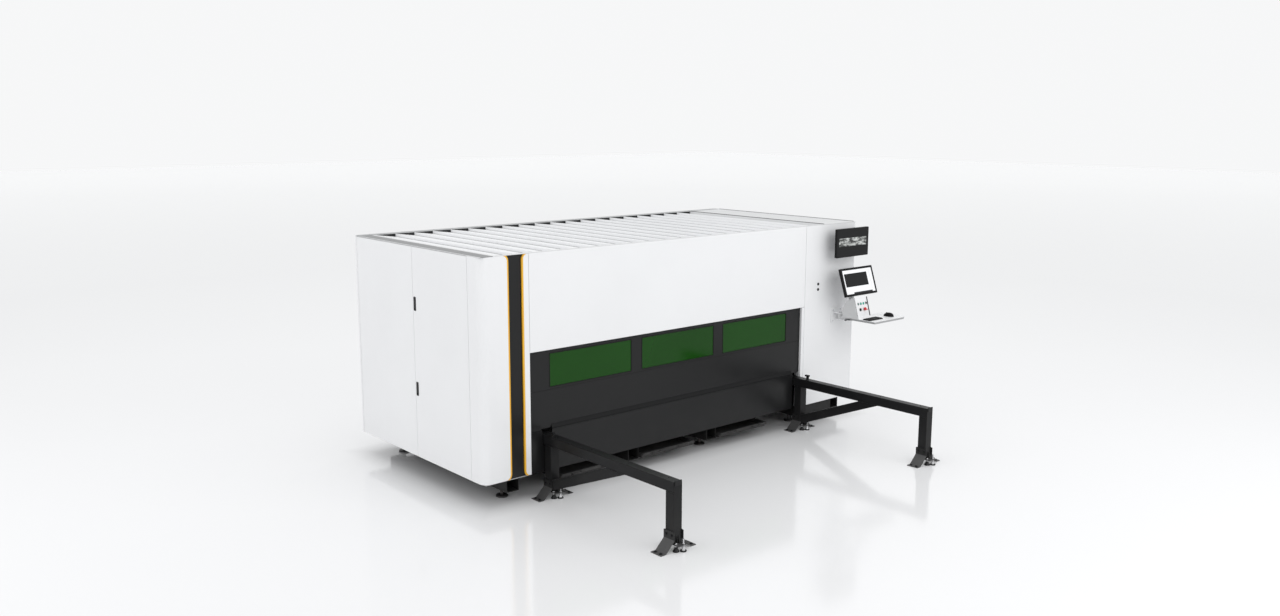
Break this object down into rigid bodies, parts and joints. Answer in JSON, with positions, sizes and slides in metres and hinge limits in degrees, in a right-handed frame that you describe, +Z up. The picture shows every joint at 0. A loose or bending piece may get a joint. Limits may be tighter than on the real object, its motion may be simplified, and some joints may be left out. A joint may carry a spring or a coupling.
{
  "type": "fiber laser cutting machine",
  "caption": "Enclosed fibre laser cutting machine with roll-out slat table, windowed front, two support arms, louvred roof, side doors and swing console",
  "frame": {"origin": "middle of the footprint at floor level", "axes": "+X to the right as the operator faces the machine, +Y to the back, +Z up; the worktable rolls out to -Y"},
  "size_m": [4.737, 3.6509, 2.005],
  "materials": {
    "enclosure_white": "satin fine-texture powder coat",
    "roof_grey": "satin powder coat",
    "panel_black": "satin powder coat",
    "arm_black": "satin powder coat",
    "plate_black": "satin powder coat",
    "frame_black": "satin powder coat",
    "trim_yellow": "satin paint",
    "window_green": "tinted laser-safe acrylic",
    "foot_steel": "zinc plated",
    "bright_steel": "ground",
    "slat_steel": "raw, heat marked",
    "tray_steel": "satin powder coat",
    "cast_alu": "bead blasted",
    "motor_black": "semi-gloss",
    "head_alu": "anodised",
    "wheel_nylon": "moulded",
    "console_white": "satin powder coat",
    "arm_grey": "satin powder coat",
    "monitor_black": "fine texture",
    "key_black": "satin",
    "button_teal": "gloss",
    "stop_red": "gloss",
    "switch_black": "gloss",
    "lock_black": "satin",
    "cabinet_grey": "satin powder coat",
    "source_grey": "satin powder coat"
  },
  "bodies": {
    "machine": {"base_frame": "frame_black", "base_feet": "foot_steel", "enclosure_frame": "cabinet_grey", "inner_tracks": "arm_black", "rail_beams": "cabinet_grey", "gantry_rails": "bright_steel", "front_skirt": "panel_black", "corner_column": "enclosure_white", "stripe_channel": "panel_black", "stripe_trims": "trim_yellow", "opening_strips": "enclosure_white", "header_panel": "enclosure_white", "right_front_panel": "enclosure_white", "right_side_panel": "enclosure_white", "back_panels": "enclosure_white", "roof_rim": "roof_grey", "roof_louvres": "enclosure_white", "bay_wall": "cabinet_grey", "laser_source": "source_grey", "control_cabinet": "cabinet_grey", "door_hinges": "bright_steel", "support_arms": "arm_black", "arm_plates": "plate_black", "arm_levelling_feet": "foot_steel", "wall_brackets": "console_white"},
    "front_leaf": {"front_door": "enclosure_white", "lock_housings": "lock_black"},
    "rear_leaf": {"rear_door": "enclosure_white"},
    "upper_lock": {"upper_lock_handle": "lock_black"},
    "lower_lock": {"lower_lock_handle": "lock_black"},
    "worktable": {"table_frame": "frame_black", "table_slats": "slat_steel", "table_front": "panel_black", "window_panes": "window_green"},
    "wheel_front_left": {"front_left_wheel": "wheel_nylon"},
    "wheel_front_right": {"front_right_wheel": "wheel_nylon"},
    "wheel_rear_left": {"rear_left_wheel": "wheel_nylon"},
    "wheel_rear_right": {"rear_right_wheel": "wheel_nylon"},
    "tray_left": {"left_slag_tray": "tray_steel"},
    "tray_middle": {"middle_slag_tray": "tray_steel"},
    "tray_right": {"right_slag_tray": "tray_steel"},
    "gantry": {"gantry_beam": "cast_alu", "cross_rails": "bright_steel", "gantry_trucks": "cast_alu", "gantry_motors": "motor_black"},
    "carriage": {"head_carriage": "cast_alu"},
    "head": {"cutting_head": "head_alu"},
    "swing_arm": {"console_arm": "arm_grey"},
    "console": {"console_housing": "console_white", "keyboard_shelf": "console_white", "keyboard": "key_black", "mouse": "key_black"},
    "button_1": {"push_button_1": "button_teal"},
    "button_2": {"push_button_2": "button_teal"},
    "button_3": {"push_button_3": "button_teal"},
    "button_4": {"push_button_4": "switch_black"},
    "stop_button": {"emergency_stop": "stop_red"},
    "selector": {"mode_switch": "switch_black"},
    "monitor_lower": {"lower_monitor": "monitor_black"},
    "monitor_upper": {"upper_monitor": "monitor_black"}
  },
  "joints": [
    {"name": "front_leaf_hinge", "type": "hinge", "parent": "machine", "child": "front_leaf", "pos_m": [-2.3585, -0.01352, 1.1], "axis": [0, 0, 1], "range_deg": [0, 100]},
    {"name": "rear_leaf_hinge", "type": "hinge", "parent": "machine", "child": "rear_leaf", "pos_m": [-2.3585, 1.78948, 1.1], "axis": [0, 0, -1], "range_deg": [0, 100]},
    {"name": "lower_lock_lift", "type": "hinge", "parent": "front_leaf", "child": "lower_lock", "pos_m": [-2.3625, 0.79198, 0.833], "axis": [0, 1, 0], "range_deg": [0, 60]},
    {"name": "upper_lock_lift", "type": "hinge", "parent": "front_leaf", "child": "upper_lock", "pos_m": [-2.3625, 0.79198, 1.558], "axis": [0, 1, 0], "range_deg": [0, 60]},
    {"name": "table_travel", "type": "slide", "parent": "machine", "child": "worktable", "axis": [0, -1, 0], "range_m": [0, 1.5]},
    {"name": "wheel_front_left_roll", "type": "hinge", "parent": "worktable", "child": "wheel_front_left", "pos_m": [-1.7305, -0.08852, 0.5553], "axis": [1, 0, 0], "range_deg": [-60, 2209]},
    {"name": "wheel_front_right_roll", "type": "hinge", "parent": "worktable", "child": "wheel_front_right", "pos_m": [1.2725, -0.08852, 0.5553], "axis": [1, 0, 0], "range_deg": [-60, 2209]},
    {"name": "wheel_rear_left_roll", "type": "hinge", "parent": "worktable", "child": "wheel_rear_left", "pos_m": [-1.7305, 1.51148, 0.5553], "axis": [1, 0, 0], "range_deg": [-60, 2209]},
    {"name": "wheel_rear_right_roll", "type": "hinge", "parent": "worktable", "child": "wheel_rear_right", "pos_m": [1.2725, 1.51148, 0.5553], "axis": [1, 0, 0], "range_deg": [-60, 2209]},
    {"name": "tray_left_travel", "type": "slide", "parent": "machine", "child": "tray_left", "axis": [0, -1, 0], "range_m": [0, 1.2]},
    {"name": "tray_middle_travel", "type": "slide", "parent": "machine", "child": "tray_middle", "axis": [0, -1, 0], "range_m": [0, 1.2]},
    {"name": "tray_right_travel", "type": "slide", "parent": "machine", "child": "tray_right", "axis": [0, -1, 0], "range_m": [0, 1.2]},
    {"name": "gantry_travel", "type": "slide", "parent": "machine", "child": "gantry", "axis": [1, 0, 0], "range_m": [0, 2.85]},
    {"name": "carriage_travel", "type": "slide", "parent": "gantry", "child": "carriage", "axis": [0, 1, 0], "range_m": [-0.72, 0.72]},
    {"name": "head_lift", "type": "slide", "parent": "carriage", "child": "head", "axis": [0, 0, 1], "range_m": [-0.025, 0.05]},
    {"name": "console_arm_swing", "type": "hinge", "parent": "machine", "child": "swing_arm", "pos_m": [1.8705, -0.26352, 1.065], "axis": [0, 0, 1], "range_deg": [-15, 10]},
    {"name": "console_swivel", "type": "hinge", "parent": "swing_arm", "child": "console", "pos_m": [1.8755, -0.38852, 1.065], "axis": [0, 0, 1], "range_deg": [-15, 8]},
    {"name": "lower_monitor_tilt", "type": "hinge", "parent": "console", "child": "monitor_lower", "pos_m": [1.9155, -0.37352, 1.424], "axis": [1, 0, 0], "range_deg": [-10, 8]},
    {"name": "upper_monitor_swivel", "type": "hinge", "parent": "machine", "child": "monitor_upper", "pos_m": [1.9155, -0.28852, 1.8225], "axis": [0, 0, 1], "range_deg": [-25, 25]},
    {"name": "button_1_press", "type": "slide", "parent": "console", "child": "button_1", "axis": [0, 0.9615, -0.2747], "range_m": [0, 0.004], "stiffness_N_per_m": 400},
    {"name": "button_2_press", "type": "slide", "parent": "console", "child": "button_2", "axis": [0, 0.9615, -0.2747], "range_m": [0, 0.004], "stiffness_N_per_m": 400},
    {"name": "button_3_press", "type": "slide", "parent": "console", "child": "button_3", "axis": [0, 0.9615, -0.2747], "range_m": [0, 0.004], "stiffness_N_per_m": 400},
    {"name": "button_4_press", "type": "slide", "parent": "console", "child": "button_4", "axis": [0, 0.9615, -0.2747], "range_m": [0, 0.004], "stiffness_N_per_m": 400},
    {"name": "stop_button_press", "type": "slide", "parent": "console", "child": "stop_button", "axis": [0, 0.9615, -0.2747], "range_m": [0, 0.005], "stiffness_N_per_m": 900},
    {"name": "selector_turn", "type": "hinge", "parent": "console", "child": "selector", "pos_m": [1.8705, -0.51152, 1.166], "axis": [0, -0.9615, 0.2747], "range_deg": [-60, 60]}
  ],
  "couplings": [
    {"joint": "wheel_front_left_roll", "follows": "table_travel", "rad_per_m": 25},
    {"joint": "wheel_front_right_roll", "follows": "table_travel", "rad_per_m": 25},
    {"joint": "wheel_rear_left_roll", "follows": "table_travel", "rad_per_m": 25},
    {"joint": "wheel_rear_right_roll", "follows": "table_travel", "rad_per_m": 25}
  ]
}
